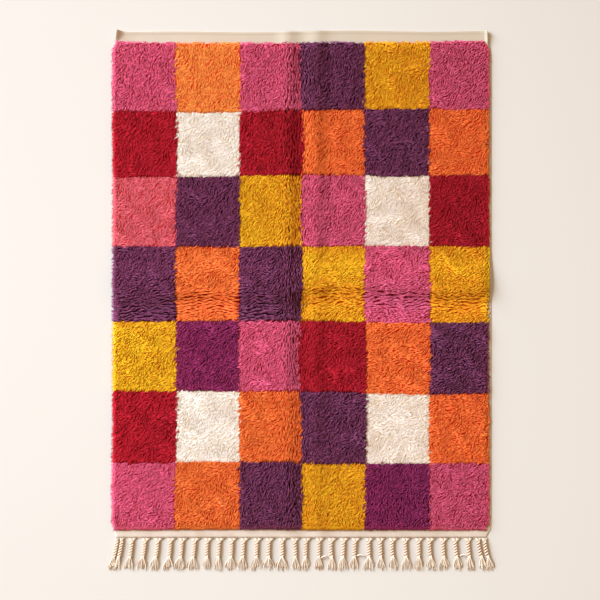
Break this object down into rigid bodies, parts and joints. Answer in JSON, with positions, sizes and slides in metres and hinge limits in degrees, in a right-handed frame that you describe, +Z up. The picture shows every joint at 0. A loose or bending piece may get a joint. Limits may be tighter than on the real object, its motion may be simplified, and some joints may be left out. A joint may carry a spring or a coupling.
{
  "type": "boujaad rug",
  "caption": "Rectangular hand-knotted wool shag rug in a patchwork of warm dyed squares, with flat-woven ends and a twisted fringe along one end.",
  "frame": {"origin": "on the floor, midway along and across the whole rug with its fringe", "axes": "+X across the rug to the right, +Y along it towards the end without a fringe, +Z up from the floor"},
  "size_m": [1.5461, 2.159, 0.0378],
  "materials": {
    "ground_weave": "matte",
    "fringe_cotton": "matte",
    "wool_magenta": "matte",
    "wool_plum": "matte",
    "wool_mustard": "matte",
    "wool_orange": "matte",
    "wool_light_orange": "matte",
    "wool_red": "matte",
    "wool_cream": "matte",
    "wool_berry": "matte",
    "wool_coral": "matte"
  },
  "bodies": {
    "root": {"ground_weave": "ground_weave", "pile": "wool_magenta", "fringe": "fringe_cotton"}
  },
  "joints": []
}
